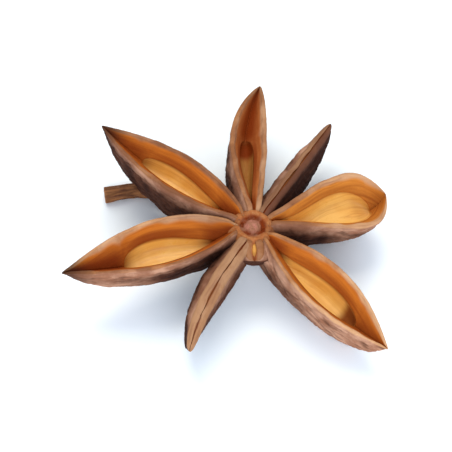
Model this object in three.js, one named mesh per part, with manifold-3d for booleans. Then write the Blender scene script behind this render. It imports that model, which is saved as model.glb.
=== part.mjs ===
// Dried star anise pod: seven follicles and one aborted stub around a short
// hub, with a broken length of stalk bent under it. Millimetres, +Z up.
// It lies on the table plane z = 0, with the origin under the centre of its box.

import * as THREE from 'three';
import { ParametricGeometry } from 'three/addons/geometries/ParametricGeometry.js';
import { mergeVertices } from 'three/addons/utils/BufferGeometryUtils.js';
import Module from 'manifold-3d';

// How the pod lies
const HUB_TOP = 5.85; // crest of the hub's ring above the table
const HUB_AT = [ 2.25, - 1.63 ]; // hub from the centre of the pod's box
const LEAN = THREE.MathUtils.degToRad( 5 ); // the whole star leans towards +X
const TABLE_SIDE = 60; // of the block of space above the table

// Hub
const KNOB_DROP = 0.22; // top of the central column, below the follicles' rims
const KNOB_FLAT = 0.46; // radius of its flat top
const KNOB_ROUND = 0.08; // fall at the edge of that flat
const KNOB_RADIUS = 0.66;
const KNOB_EDGE = 0.2; // height of the knob's side
const PIT_MIDDLE = 0.87; // radius at which the pit is deepest
const PIT_DEPTH = 0.55;
const PIT_RADIUS = 1.08;
const PIT_SIDE = 0.33; // depth of the pit there
const RING_INNER = 1.32; // flat crest of the ring round the pit
const RING_RADIUS = 1.5;
const RING_DROP = 0.2;
const COLLAR_RADIUS = 2.25; // where the hub rounds over into its side
const COLLAR_DEPTH = 1.2;
const HUB_RADIUS = 2.5;
const HUB_WIDEST = 2.2; // depth at which the hub is widest
const WAIST_RADIUS = 1.5; // where the cone down to the stalk turns in
const WAIST_DEPTH = 3.57;
const HUB_DEPTH = 4.2; // of the hub's underside

// Follicle walls
const START = 1.2; // distance from the axis at which a follicle begins
const DIP = 0.3; // fall of the rims into the pit
const DIP_RUN = 0.75; // length over which they fall
const OPEN_CROWN = 0.1; // height of a rim that has parted
const SHUT_CROWN = 0.34; // and of one that has not
const SLIT = 0.07; // half the seam between lips that have not parted
const SEAM_FLOOR = 0.6; // width of the seam's bottom, as a share of its top
const PARTED = 0.8; // gape at which a rim is fully an open one
const LIP_SLOPE = 0.95; // fall of a lip's inner face for each unit inwards
const BODY_LEAST = 0.35; // half thickness of a body at its ends
const BELLY = 0.35; // share of the depth over which the flank swells from the rim
const BELLY_LEAST = 0.9; // least half width of the belly, as a share of the rims'
const ROLL_HEIGHT = - 2; // a follicle rolls about this height
const LAST = 0.9995; // of the reach: the ring that closes on the tip
const TIP_DEPTH = 0.13; // least depth, near the tip, as a share of the greatest

// Seed chamber
const CHAMBER_DROP = 1.3; // of the chamber's floor below its edge
const CHAMBER_STEP = 0.04; // least drop of the floor
const FULL_GAPE = 3; // gape at which the chamber has its full drop
const EDGE_DROP = 0.08; // of the chamber's edge below a rim that has not parted

// Powers and shares that shape the curves
const TIP_POWER = 14; // how squarely a follicle closes at the tip, where it has no nose of its own
const DROOP_POWER = 2.2;
const FLANK_POWERS = [ 1.9, 0.75 ];
const LENS_POWERS = [ 0.8, 0.4 ]; // outline of the chamber
const SINK_POWER = 0.8; // fall of its floor along its length
const BOWL_POWER = 0.7; // roundness of its section: small is square
const BODY_RISE = [ 0.1, 0.8 ]; // where on its hump a body begins, and its power
const KEEL_RISE = [ 0.16, 0.55 ];

// Parts of half a section, as shares of the way from the keel to the middle
const RIM_FROM = 0.5;
const LIP_FROM = 0.6;
const CHAMBER_FROM = 0.75;

// Facets
const AROUND = 28;
const ALONG = 22;
const CROWDING = 0.25; // how much closer the sections stand at the tip than at the hub
const HUB_TURNS = 28;
const SMALLEST = 0.02; // detail under this is merged away
const SAME_POINT = 1e-5; // corners this close are one

// Each follicle: bearing from +X in degrees, reach of its tip from the hub's
// axis, gape between the rims, thickness of a rim, half thickness of the body,
// depth from rim to keel, droop of the tip, swell of the outline from the hub
// (large is slim near the hub), taper to the tip (small is blunt), sweep of the
// keel up to the tip (small is blunt), roll about its own length in degrees,
// sideways bend of the tip, the seed chamber (where it starts and ends as
// fractions of the reach, and its share of the opening), and a rounder nose.
const FOLLICLES = [
	{ bearing: 21, reach: 11.9, gape: 4.8, rim: 0.42, body: 1.9, depth: 5.15, droop: 0.7,
		swell: 1.4, taper: 0.44, sweep: 0.42, roll: 0, bend: 0, chamber: [ 0.18, 0.9, 0.7 ] },
	{ bearing: 59.6, reach: 13.5, gape: 0, rim: 0.4, body: 1.4, depth: 4.6, droop: 1.2,
		swell: 0.95, taper: 0.9, sweep: 0.6, roll: 4, bend: 0.2, chamber: [ 0.16, 0.76, 0.6 ] },
	{ bearing: 97, reach: 15, gape: 2.2, rim: 0.42, body: 1.72, depth: 5, droop: 1,
		swell: 1.2, taper: 1, sweep: 0.7, roll: 10, bend: - 2.4, chamber: [ 0.16, 0.64, 0.55 ] },
	{ bearing: 141.8, reach: 16.2, gape: 3.3, rim: 0.3, body: 2, depth: 5.8, droop: 1.3,
		swell: 0.95, taper: 1.2, sweep: 0.58, roll: 3, bend: - 0.3, chamber: [ 0.19, 0.72, 0.54 ] },
	{ bearing: 197.2, reach: 16.2, gape: 4.4, rim: 0.3, body: 1.8, depth: 4.85, droop: 1.7,
		swell: 0.95, taper: 1.3, sweep: 0.65, roll: 5, bend: 0, chamber: [ 0.19, 0.67, 0.6 ] },
	{ bearing: 238.2, reach: 12.8, gape: 0, rim: 0.6, body: 1.45, depth: 5.5, droop: 1.6,
		swell: 0.95, taper: 1.1, sweep: 0.52, roll: - 14, bend: 1.9, chamber: [ 0.16, 0.76, 0.6 ], nose: 7 },
	{ bearing: 273, reach: 3.3, gape: 0.4, rim: 0.6, body: 2.1, depth: 1.9, droop: 0.7,
		swell: 0.95, taper: 0.2, sweep: 0.25, roll: 0, bend: 0, chamber: [ 0.42, 0.85, 0.8 ], nose: 5 },
	{ bearing: 316.2, reach: 15.3, gape: 3.7, rim: 0.3, body: 2, depth: 5.35, droop: 1.8,
		swell: 1.15, taper: 1.2, sweep: 0.6, roll: - 3, bend: 0, chamber: [ 0.18, 0.765, 0.55 ] },
];

// Stalk: its centre line from the hub to the broken end, with x and y from the
// hub's axis and z from the table
const STALK_RADIUS = 0.68;
const STALK_LINE = [
	[ 0, 0, 3.2 ],
	[ - 0.9, 1.0, 2.0 ],
	[ - 3.0, 3.6, 1.1 ],
	[ - 6.0, 6.1, 0.66 ],
	[ - 9.2, 7.3, 0.62 ],
	[ - 12.4, 6.8, 0.64 ],
];
const STALK_STEPS = 22;
const STALK_SIDES = 10;

const { clamp, degToRad, lerp, smoothstep } = THREE.MathUtils;

// A hump that is 0 at t = 0 and t = 1 and 1 at its highest, with the powers
// setting how it rises and how it falls.
function hump( t, rise, fall ) {

	const peak = rise / ( rise + fall );
	const highest = Math.pow( peak, rise ) * Math.pow( 1 - peak, fall );
	return Math.pow( clamp( t, 0, 1 ), rise ) * Math.pow( clamp( 1 - t, 0, 1 ), fall ) / highest;

}

// Measures of a follicle's section at a fraction x of its reach.
function sectionAt( follicle, x ) {

	const { reach, gape, rim, body, depth, droop, swell, taper, sweep, chamber } = follicle;
	const [ chamberFrom, chamberTo, spread ] = chamber;
	const first = START / reach;
	const t = ( x - first ) / ( 1 - first );
	const close = Math.sqrt( 1 - Math.pow( t, follicle.nose ?? TIP_POWER ) );
	const dip = DIP * ( 1 - smoothstep( x * reach, START, START + DIP_RUN ) );
	const parted = Math.min( 1, gape / PARTED );
	const rimHalf = ( SLIT + gape / 2 * hump( t, swell, taper ) ) * close;
	const bodyHump = hump( lerp( BODY_RISE[ 0 ], 1, t ), BODY_RISE[ 1 ], taper );
	const keelHump = hump( lerp( KEEL_RISE[ 0 ], 1, t ), KEEL_RISE[ 1 ], sweep );
	const lens = hump( ( x - chamberFrom ) / ( chamberTo - chamberFrom ), ...LENS_POWERS );
	const edgeHalf = Math.max( SEAM_FLOOR * SLIT * close, spread * rimHalf * lens );
	const edgeDrop = EDGE_DROP + LIP_SLOPE * Math.max( 0, rimHalf - edgeHalf );
	const floorDrop = CHAMBER_DROP * Math.min( 1, gape / FULL_GAPE ) * Math.pow( lens, SINK_POWER );
	return {
		parted,
		rimHalf,
		outer: rimHalf + rim * close,
		crown: lerp( SHUT_CROWN, OPEN_CROWN, parted ) * close,
		bodyHalf: lerp( BODY_LEAST, body, bodyHump ) * close,
		rimHeight: - droop * Math.pow( t, DROOP_POWER ) - dip,
		depth: depth * Math.max( TIP_DEPTH, keelHump ) * close,
		edgeHalf,
		edgeDrop,
		floorDrop: edgeDrop + CHAMBER_STEP + floorDrop,
	};

}

// Point of half a section, from the keel (p = 0) up the flank, over the rim,
// down the lip and into the chamber's middle (p = 1): sideways and height. The
// rim of an open follicle is half an ellipse, and that of a shut one a quarter,
// so that both its rims make one ridge with a fine seam.
function halfSection( section, p ) {

	const { parted, rimHalf, outer, crown, bodyHalf, rimHeight, depth } = section;
	const { edgeHalf, edgeDrop, floorDrop } = section;
	const shoulder = rimHeight - crown;
	const inner = shoulder + crown * ( 1 - parted );
	if ( p < RIM_FROM ) {

		const fall = 1 - p / RIM_FROM;
		const widest = Math.max( bodyHalf, BELLY_LEAST * outer );
		const belly = lerp( outer, widest, smoothstep( fall, 0, BELLY ) );
		const side = belly * Math.pow( 1 - Math.pow( fall, FLANK_POWERS[ 0 ] ), FLANK_POWERS[ 1 ] );
		return [ side, shoulder - ( depth - crown ) * fall ];

	}

	if ( p < LIP_FROM ) {

		const turn = ( p - RIM_FROM ) / ( LIP_FROM - RIM_FROM ) * Math.PI;
		const outwards = lerp( Math.cos( turn / 2 ), ( 1 + Math.cos( turn ) ) / 2, parted );
		const rise = lerp( Math.sin( turn / 2 ), Math.sin( turn ), parted );
		return [ lerp( rimHalf, outer, outwards ), shoulder + crown * rise ];

	}

	if ( p < CHAMBER_FROM ) {

		const inwards = ( p - LIP_FROM ) / ( CHAMBER_FROM - LIP_FROM );
		return [ lerp( rimHalf, edgeHalf, inwards ), inner - edgeDrop * inwards ];

	}

	const turn = ( p - CHAMBER_FROM ) / ( 1 - CHAMBER_FROM ) * Math.PI / 2;
	const floor = inner - lerp( edgeDrop, floorDrop, Math.sin( turn ) );
	return [ edgeHalf * Math.pow( Math.cos( turn ), BOWL_POWER ), floor ];

}

// Moves a point from the star's own frame, hub crest at the origin, to where
// it lies above the table.
const lie = new THREE.Matrix4()
	.makeTranslation( ...HUB_AT, HUB_TOP )
	.multiply( new THREE.Matrix4().makeRotationY( LEAN ) );

// Closed surface of one follicle. u runs once round the section from the keel
// and v from the hub to the tip; both end rings shrink to a point.
function follicleGeometry( follicle ) {

	const { bearing, reach, roll, bend } = follicle;
	const turn = degToRad( bearing );
	const tilt = degToRad( roll );

	function surface( u, v, target ) {

		const row = Math.round( v * ALONG );
		const inner = clamp( row - 1, 0, ALONG - 2 ) / ( ALONG - 2 );
		const along = lerp( START, reach, lerp( inner, Math.sin( inner * Math.PI / 2 ), CROWDING ) );
		const section = sectionAt( follicle, Math.min( along / reach, LAST ) );
		const left = u < 0.5;
		let [ side, height ] = halfSection( section, left ? 2 * u : 2 - 2 * u );
		if ( ! left ) side = - side;
		if ( row === 0 || row === ALONG ) {

			side = 0;
			height = section.rimHeight - section.depth / 2;

		}

		const lifted = height - ROLL_HEIGHT;
		const across = side * Math.cos( tilt ) - lifted * Math.sin( tilt );
		const up = side * Math.sin( tilt ) + lifted * Math.cos( tilt ) + ROLL_HEIGHT;
		const sideways = across + bend * Math.pow( along / reach, 3 );
		target.set(
			along * Math.cos( turn ) - sideways * Math.sin( turn ),
			along * Math.sin( turn ) + sideways * Math.cos( turn ),
			up
		).applyMatrix4( lie );

	}

	return new ParametricGeometry( surface, AROUND, ALONG );

}

// Hub: a ring round a pit with the knob of the central column in it, and a
// shallow cone down to the stalk.
function hubGeometry() {

	const profile = [
		[ 0, - KNOB_DROP ],
		[ KNOB_FLAT, - KNOB_DROP - KNOB_ROUND ],
		[ KNOB_RADIUS, - KNOB_DROP - KNOB_EDGE ],
		[ PIT_MIDDLE, - PIT_DEPTH ],
		[ PIT_RADIUS, - PIT_SIDE ],
		[ RING_INNER, - RING_DROP ],
		[ RING_RADIUS, - RING_DROP ],
		[ COLLAR_RADIUS, - COLLAR_DEPTH ],
		[ HUB_RADIUS, - HUB_WIDEST ],
		[ WAIST_RADIUS, - WAIST_DEPTH ],
		[ STALK_RADIUS, - HUB_DEPTH ],
		[ 0, - HUB_DEPTH ],
	];
	const points = profile.map( ( [ radius, height ] ) => new THREE.Vector2( radius, height ) );
	return new THREE.LatheGeometry( points.reverse(), HUB_TURNS ).rotateX( Math.PI / 2 ).applyMatrix4( lie );

}

function stalkGeometry() {

	const line = new THREE.CatmullRomCurve3( STALK_LINE.map( ( point ) => new THREE.Vector3( ...point ) ) );
	const section = new THREE.Shape();
	section.absarc( 0, 0, STALK_RADIUS, 0, 2 * Math.PI );
	return new THREE.ExtrudeGeometry( section, {
		steps: STALK_STEPS,
		curveSegments: STALK_SIDES,
		extrudePath: line,
		bevelEnabled: false,
	} ).translate( ...HUB_AT, 0 );

}

// Everything above the table: keels that reach below it end in a flat.
function aboveTableGeometry() {

	const side = TABLE_SIDE;
	return new THREE.BoxGeometry( side, side, side ).translate( 0, 0, side / 2 );

}

const wasm = await Module();
wasm.setup();

// Turns a closed geometry into a manifold solid, leaving out the faces that
// merging its vertices has shrunk to nothing.
function solid( geometry ) {

	geometry.deleteAttribute( 'normal' );
	geometry.deleteAttribute( 'uv' );
	const merged = mergeVertices( geometry, SAME_POINT );
	const corners = merged.getIndex().array;
	const kept = [];
	for ( let i = 0; i < corners.length; i += 3 ) {

		const [ a, b, c ] = corners.slice( i, i + 3 );
		if ( a !== b && b !== c && c !== a ) kept.push( a, b, c );

	}

	return new wasm.Manifold( new wasm.Mesh( {
		numProp: 3,
		vertProperties: merged.getAttribute( 'position' ).array,
		triVerts: new Uint32Array( kept ),
	} ) );

}

function meshFrom( manifold, name, colour ) {

	const { vertProperties, triVerts } = manifold.getMesh();
	const geometry = new THREE.BufferGeometry();
	geometry.setAttribute( 'position', new THREE.BufferAttribute( vertProperties, 3 ) );
	geometry.setIndex( new THREE.BufferAttribute( triVerts, 1 ) );
	geometry.computeVertexNormals();
	const material = new THREE.MeshStandardMaterial( { color: colour, roughness: 0.6, metalness: 0 } );
	const mesh = new THREE.Mesh( geometry, material );
	mesh.name = name;
	return mesh;

}

let pod = solid( hubGeometry() ).add( solid( stalkGeometry() ) );
for ( const follicle of FOLLICLES ) {

	pod = pod.add( solid( follicleGeometry( follicle ) ) );

}

pod = pod.intersect( solid( aboveTableGeometry() ) ).simplify( SMALLEST );

const starAnise = new THREE.Group();
starAnise.add( meshFrom( pod, 'star_anise_pod', 0x9a5f35 ) );

export default starAnise;
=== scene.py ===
"""Dried star anise pod, lying on its keels and its broken stalk.

Every piece is a surface worked out with numpy on a grid of two parameters, in
millimetres about the hub's axis, and written to its mesh in metres.
"""

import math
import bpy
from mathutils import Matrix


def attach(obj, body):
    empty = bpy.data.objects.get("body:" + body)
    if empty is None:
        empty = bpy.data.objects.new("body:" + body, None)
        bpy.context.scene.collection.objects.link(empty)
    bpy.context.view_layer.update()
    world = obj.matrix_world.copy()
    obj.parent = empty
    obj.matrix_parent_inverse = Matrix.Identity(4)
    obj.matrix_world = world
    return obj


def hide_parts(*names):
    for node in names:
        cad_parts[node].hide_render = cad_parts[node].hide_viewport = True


bl_info = {
    "name": "Star anise pod",
    "version": (1, 0, 0),
    "blender": (4, 5, 0),
    "location": "3D View > Sidebar > Pod",
    "description": "Builds a dried star anise pod with its materials, light and camera",
    "category": "Add Mesh",
}

from dataclasses import dataclass

import bpy
import numpy as np
from bpy.props import FloatProperty, FloatVectorProperty, PointerProperty
from mathutils import Vector

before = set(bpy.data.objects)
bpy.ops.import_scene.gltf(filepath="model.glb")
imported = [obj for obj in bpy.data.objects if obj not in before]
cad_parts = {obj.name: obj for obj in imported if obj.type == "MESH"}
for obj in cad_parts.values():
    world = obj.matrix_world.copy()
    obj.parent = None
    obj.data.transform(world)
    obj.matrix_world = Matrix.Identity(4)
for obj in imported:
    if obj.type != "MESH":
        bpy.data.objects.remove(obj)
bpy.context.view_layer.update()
CAD_NODE = "star_anise_pod"
BODY = "root"

MM = 0.001  # metres in a millimetre: sizes are millimetres where nothing else is said
SMALLEST = 1e-9  # least length that anything is divided by

# How the pod lies
HUB_TOP = 5.85  # rims round the hub above the floor
HUB_AT = (2.25, -1.63)  # hub from the centre of the pod's box
LEAN = math.radians(5)  # the whole star leans towards +X

# Hub: depths are below the follicles' rims
KNOB_DROP = 0.22  # of the knob's top
KNOB_DOME = ((0.4, 0.02), (0.8, 0.12))  # shares of its radius, and how far its top has fallen there
KNOB_RADIUS = 0.66
KNOB_EDGE = 0.2  # height of the knob's side
PIT_MIDDLE = 0.87  # radius at which the pit is deepest
PIT_DEPTH = 0.55
PIT_RADIUS = 1.08
PIT_SIDE = 0.33  # depth of the pit there
RING_INNER = 1.32  # flat crest of the ring round the pit
RING_RADIUS = 1.5
RING_DROP = 0.2
RING_SINK = 0.35  # how much deeper the ring is between the follicles
COLLAR_RADIUS = 2.25  # where the hub rounds over into its side
COLLAR_DEPTH = 1.2
HUB_RADIUS = 2.5
HUB_WIDEST = 2.2  # depth at which the hub is widest
ROUGH_TO = 2.5  # depth down to which the hub is uneven
WAIST_RADIUS = 1.5  # where the cone down to the stalk turns in
WAIST_DEPTH = 3.57
HUB_DEPTH = 4.2
POLE_RADIUS = 0.02  # of the last ring round a pole
LOBE_WIDTH = 1.25  # of the ring's lobe under a follicle, for each unit of its rim
KNOB_STRAY = 0.48  # how far the knob and the pit are from round, as a share of their radius
KNOB_PATCH = 0.7  # width of one such stray place, as a share of the circle's radius
HUB_LUMP = (0.09, 0.8)  # depth and size of the lumps on the hub
HUB_GRAIN = (0.05, 0.22)  # and of its grain
STALK_RADIUS = 0.68

# Hub: radius and height of its profile, from the top of the knob to the stalk
HUB_PROFILE = (
    (POLE_RADIUS, -KNOB_DROP),
    *((share * KNOB_RADIUS, -KNOB_DROP - fall) for share, fall in KNOB_DOME),
    (KNOB_RADIUS, -KNOB_DROP - KNOB_EDGE),
    (PIT_MIDDLE, -PIT_DEPTH),
    (PIT_RADIUS, -PIT_SIDE),
    (RING_INNER, -RING_DROP),
    (RING_RADIUS, -RING_DROP),
    (COLLAR_RADIUS, -COLLAR_DEPTH),
    (HUB_RADIUS, -HUB_WIDEST),
    (WAIST_RADIUS, -WAIST_DEPTH),
    (STALK_RADIUS, -HUB_DEPTH),
    (POLE_RADIUS, -HUB_DEPTH),
)

# Follicle walls
START = 1.2  # distance from the axis at which a follicle begins
DIP = 0.3  # fall of the rims into the pit
DIP_RUN = 0.75  # length over which they fall
OPEN_CROWN = 0.1  # height of a rim that has parted
SHUT_CROWN = 0.34  # and of one that has not
SLIT = 0.07  # half the seam between lips that have not parted
SEAM_FLOOR = 0.6  # width of the seam's bottom, as a share of its top
PARTED = 0.8  # gape at which a rim is fully an open one
LIP_SLOPE = 0.95  # fall of a lip's inner face for each unit inwards
BODY_LEAST = 0.35  # half thickness of a body at its ends
BELLY = 0.35  # share of the depth over which the flank swells from the rim
BELLY_LEAST = 0.9  # least half width of the belly, as a share of the rims'
ROLL_HEIGHT = -2.0  # a follicle rolls about this height
LAST = 0.9995  # of the reach: the ring that closes on the tip
TIP_DEPTH = 0.13  # least depth, near the tip, as a share of the greatest

# Seed chamber
CHAMBER_DROP = 1.3  # of the chamber's floor below its edge
CHAMBER_STEP = 0.04  # least drop of the floor
FULL_GAPE = 3  # gape at which the chamber has its full drop
EDGE_DROP = 0.08  # of the chamber's edge below a rim that has not parted

# Powers and shares that shape the curves
DROOP_POWER = 2.2
BEND_POWER = 3
FLANK_POWERS = (1.9, 0.75)
LENS_POWERS = (0.8, 0.4)  # outline of the chamber
SINK_POWER = 0.8  # fall of its floor along its length
BOWL_POWER = 0.7  # roundness of its section: small is square
BODY_RISE = (0.1, 0.8)  # where on its hump a body begins, and its power
KEEL_RISE = (0.16, 0.55)

# Parts of half a section, as shares of the way from the keel to the middle
RIM_FROM = 0.5
LIP_FROM = 0.6
CHAMBER_FROM = 0.75

# Relief of a follicle beside its wrinkles: lengths, and depths as shares of the wrinkles' depth
RELIEF_FROM = 0.12  # share of the rows over which relief grows from nothing at the hub
RELIEF_TO = 0.93  # share of the rows at which it begins to fade towards the tip
WRINKLE_SLANT = 0.35  # wrinkles crossed in one millimetre along a follicle, as they run aslant
CREASE_DEPTH = 0.9
LUMP_LENGTH = 1.9
LUMP_DEPTH = 0.7
GRAIN_LENGTH = 0.34
GRAIN_DEPTH = 0.16
RIM_GRAIN_DEPTH = 0.1
LONG_WAVE = 2.1  # length of a rim's waves
SHORT_WAVE = 0.8  # length of the waves on top of them, which are half as high
RIM_LIFT = 0.8  # height of the waves, for each unit that they push the rim sideways
WAVE_SHIFT = 7  # rows by which they lift the rim later than they push it
RIM_PATCH = 1.3  # length over which the thickness of a rim changes
RIM_UNEVEN = 0.45  # how far the thickness of a rim strays, as a share of it
SHUT_UNEVEN = 0.4  # share of that for a rim that has not parted

# Where a follicle's looks change, as fractions of its reach
MIDDLE = (0.3, 0.7)  # from the colours near the hub to those near the tip
BURNT = (0.82, 0.97)  # from clean to burnt

# Noise
NOISE_TABLE = 256  # random slopes in a table
NOISE_GAIN = 1.6
CREASE_LAYERS = (1, 0.5, 0.25)  # strength of each layer
CREASE_FOLD = 2.2  # how narrow the folds are
LINE_STEP = 1.7  # between the lines of two seeds
FLANK_STEP = 3.7  # between the two flanks of a follicle
FOLLICLE_STEP = 3.1  # between the grains of two follicles
HUB_SEED = 301
STALK_SEED = 401

# Grids
ALONG_ROWS = 190
CROWDING = 0.25  # how much closer the rows stand at the tip than at the hub
HALF_COLUMNS = (46, 12, 16, 26)  # of the flank, the rim, the lip and half the chamber
HUB_TURNS = 288
HUB_ROWS = 150
STALK_ROWS = 260
STALK_TURNS = 72
FACE_ROWS = 13


@dataclass(frozen=True, kw_only=True)
class Follicle:
    """Measures of one follicle: bearing from +X and roll in degrees, the rest in millimetres, powers
    or fractions of its reach. Right and left are as seen from the hub."""

    name: str
    bearing: float
    reach: float  # of the tip from the hub's axis
    gape: float  # between the rims
    rim: float  # thickness of a rim
    body: float  # half thickness
    depth: float  # from rim to keel
    droop: float  # of the tip
    swell: float  # power of the outline's rise from the hub: large is slim near the hub
    taper: float  # power of the outline's fall to the tip: small is blunt
    sweep: float  # power of the keel's rise to the tip: small is blunt
    roll: float = 0
    bend: float = 0  # sideways, at the tip
    chamber: tuple  # where the seed chamber starts and ends, and its share of the opening
    nose: float = 14  # power of the tip's closing: small is round
    seed: int
    dusk: tuple  # how dark the husk is near the hub and near the tip: 0 light, 1 dark, 2 deep; partly its own tone, partly painted shade between the follicles near the hub
    shade: float = 0  # painted shade and light by side: how much darker than that the right side is, and how much lighter the left
    pale: tuple = (0, 0)  # how pale the rims are near the hub and near the tip: below 0 is dusky
    beak: float  # how dark and red the groove of the beak is, from 0 to 1, with painted shade where the lips meet and along the chamber's edge
    end_shade: float = 0  # painted shade at the far end of the chamber: how dark and dull it is, from 0 to 1
    gold: float = 0  # how golden and glossy the lining is, from 0 to 1, and above 1 the lip too
    burn: float = 0  # how dark the very tip is, from 0 to 1


FOLLICLES = (
    Follicle(
        name="follicle_blunt", bearing=21, reach=11.9, gape=4.8, rim=0.42, body=1.9, depth=5.15,
        droop=0.7, swell=1.4, taper=0.44, sweep=0.42, chamber=(0.18, 0.9, 0.7), seed=11,
        dusk=(1.25, 0.2), pale=(-0.1, 1.2), beak=0.4, end_shade=0.15, gold=1.2,
    ),
    Follicle(
        name="follicle_thin", bearing=59.6, reach=13.5, gape=0, rim=0.4, body=1.4, depth=4.6,
        droop=1.2, swell=0.95, taper=0.9, sweep=0.6, roll=4, bend=0.2, chamber=(0.16, 0.76, 0.6),
        seed=12, dusk=(2.3, 2.0), shade=1.1, beak=0.3,
    ),
    Follicle(
        name="follicle_half_open", bearing=97, reach=15, gape=2.2, rim=0.42, body=1.72, depth=5,
        droop=1, swell=1.2, taper=1, sweep=0.7, roll=10, bend=-2.4, chamber=(0.16, 0.64, 0.55),
        seed=13, dusk=(1.0, 0.9), shade=-0.3, pale=(0.3, 0.3), beak=1, end_shade=1, gold=0.2, burn=0.3,
    ),
    Follicle(
        name="follicle_back_left", bearing=141.8, reach=16.2, gape=3.3, rim=0.3, body=2.0, depth=5.8,
        droop=1.3, swell=0.95, taper=1.2, sweep=0.58, roll=3, bend=-0.3, chamber=(0.19, 0.72, 0.54),
        seed=14, dusk=(1.3, 1.2), pale=(-0.3, -0.1), beak=0.8, end_shade=0.1, gold=1, burn=0.8,
    ),
    Follicle(
        name="follicle_left", bearing=197.2, reach=16.2, gape=4.4, rim=0.3, body=1.8, depth=4.85,
        droop=1.7, swell=0.95, taper=1.3, sweep=0.65, roll=5, chamber=(0.19, 0.67, 0.6),
        seed=15, dusk=(1.0, -0.4), shade=-0.5, pale=(0.2, 0.2), beak=1, end_shade=0.1, gold=1, burn=0.9,
    ),
    Follicle(
        name="follicle_shut", bearing=238.2, reach=12.8, gape=0, rim=0.6, body=1.45, depth=5.5,
        droop=1.6, swell=0.95, taper=1.1, sweep=0.52, roll=-14, bend=1.9, chamber=(0.16, 0.76, 0.6),
        nose=7, seed=16, dusk=(1.5, 1.35), shade=-0.15, pale=(1.1, 1.1), beak=0.2,
    ),
    Follicle(
        name="follicle_front_right", bearing=316.2, reach=15.3, gape=3.7, rim=0.3, body=2.0,
        depth=5.35, droop=1.8, swell=1.15, taper=1.2, sweep=0.6, roll=-3, chamber=(0.18, 0.765, 0.55),
        seed=17, dusk=(0.5, -0.3), pale=(0.2, 1.1), beak=0.75, end_shade=0.9, gold=1,
    ),
)
STUB = Follicle(
    name="aborted_follicle", bearing=273, reach=3.3, gape=0.4, rim=0.6, body=2.1, depth=1.9,
    droop=0.7, swell=0.95, taper=0.2, sweep=0.25, chamber=(0.42, 0.85, 0.8), nose=5,
    seed=18, dusk=(1.2, 1.5), pale=(0.3, 0), beak=0.5, end_shade=0.3, gold=0.6,
)

# Stalk: x and y from the hub's axis, z from the floor
STALK_LINE = (
    (0, 0, 3.2),
    (-0.9, 1.0, 2.0),
    (-3.0, 3.6, 1.1),
    (-6.0, 6.1, 0.66),
    (-9.2, 7.3, 0.62),
    (-12.4, 6.8, 0.64),
)
STALK_WRINKLE = 2.4  # length of a wrinkle
STALK_FLUTES = 1.6  # how many wrinkles lie round the stalk: large is many
STALK_CREASE = 0.06  # depth of a crease
STALK_LUMP = 0.05  # depth of the lumps, as a share of the radius
LUMP_SCALE = (1.6, 0.5, 0.5)  # of the lumps along and across the stalk, against the wrinkles
STALK_SWELL = 0.08  # how much wider the broken end is, as a share of the radius
SWELL_FROM = 0.93  # share of the length at which it begins to widen
FACE_DISH = 0.12  # depth of the broken face in the middle
FACE_RAGGED = 0.1  # how far its edge sticks out or in
FACE_ROUGH = (3, 2)  # where on its noise the face lies, and how fine the noise is
FACE_INNER = 0.04  # radius of its last ring, as a share of the edge's
FACE_PALE = 0.4  # how much the edge of the face shows the pith
BARK_FLUTES = 0.8  # how fine the bark's streaks are round the stalk

# Lamps and camera, in metres where nothing else is said
KEY_AT = (-0.02, 0.2, 0.39)
KEY_SIDE = 0.3
KEY_TINT = (1.0, 0.94, 0.8)
FILL_AT = (0.05, -0.5, 0.22)
FILL_SIDE = 0.5
FILL_TINT = (0.82, 0.9, 1.0)
SKY_TINT = (0.8, 0.89, 1.0, 1)
FLOOR_MOTTLE = (0.7, 0.72, 0.75, 1)
AIM_FROM_HUB = (-2.23, -0.28)  # millimetres
SENSOR_WIDTH = 36  # millimetres
CLIP = (0.01, 10)

# Materials
PATCHES = {"scale": 480, "detail": 5.0, "roughness": 0.6}  # scales are repeats in a metre
SPECKS = {"scale": 2600, "detail": 3.0, "roughness": 0.7}
FINE_RELIEF = 0.06 * MM  # height of relief that only shading shows
MIX_INPUTS = (0, 6, 7)  # sockets of a Mix node's share and of its two colours
MIX_OUTPUT = 2
DULL_SPECULAR = 0.06


def display(red, green, blue):
    """A colour given as display values from 0 to 255, as linear light with full alpha."""
    share = np.array((red, green, blue)) / 255
    linear = np.where(share <= 0.04045, share / 12.92, ((share + 0.055) / 1.055) ** 2.4)
    return (*(float(value) for value in linear), 1.0)


def colour(name, description, red, green, blue):
    """A colour property whose default is given in display values."""
    return FloatVectorProperty(
        name=name,
        description=description,
        subtype="COLOR",
        size=4,
        min=0,
        max=1,
        default=display(red, green, blue),
    )


def number(name, description, default, least=0.0, unit="LENGTH"):
    """A property that holds a number, a length in metres where no other unit is given."""
    return FloatProperty(name=name, description=description, default=default, min=least, unit=unit)


class PodShape(bpy.types.PropertyGroup):
    """Fine relief that the follicles get on top of their main form."""

    wrinkle_depth: number("Wrinkle depth", "Depth of the wrinkles on the outside of the husk", 0.13 * MM)
    wrinkle_length: number(
        "Wrinkle length", "Length of one wrinkle along a follicle", 2.2 * MM, 0.1 * MM
    )
    wrinkle_width: number("Wrinkle width", "Distance from one wrinkle to the next", 0.75 * MM, 0.1 * MM)
    rim_wave: number(
        "Rim wave", "How far the rims of the open follicles stray from a smooth curve", 0.1 * MM
    )


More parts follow.
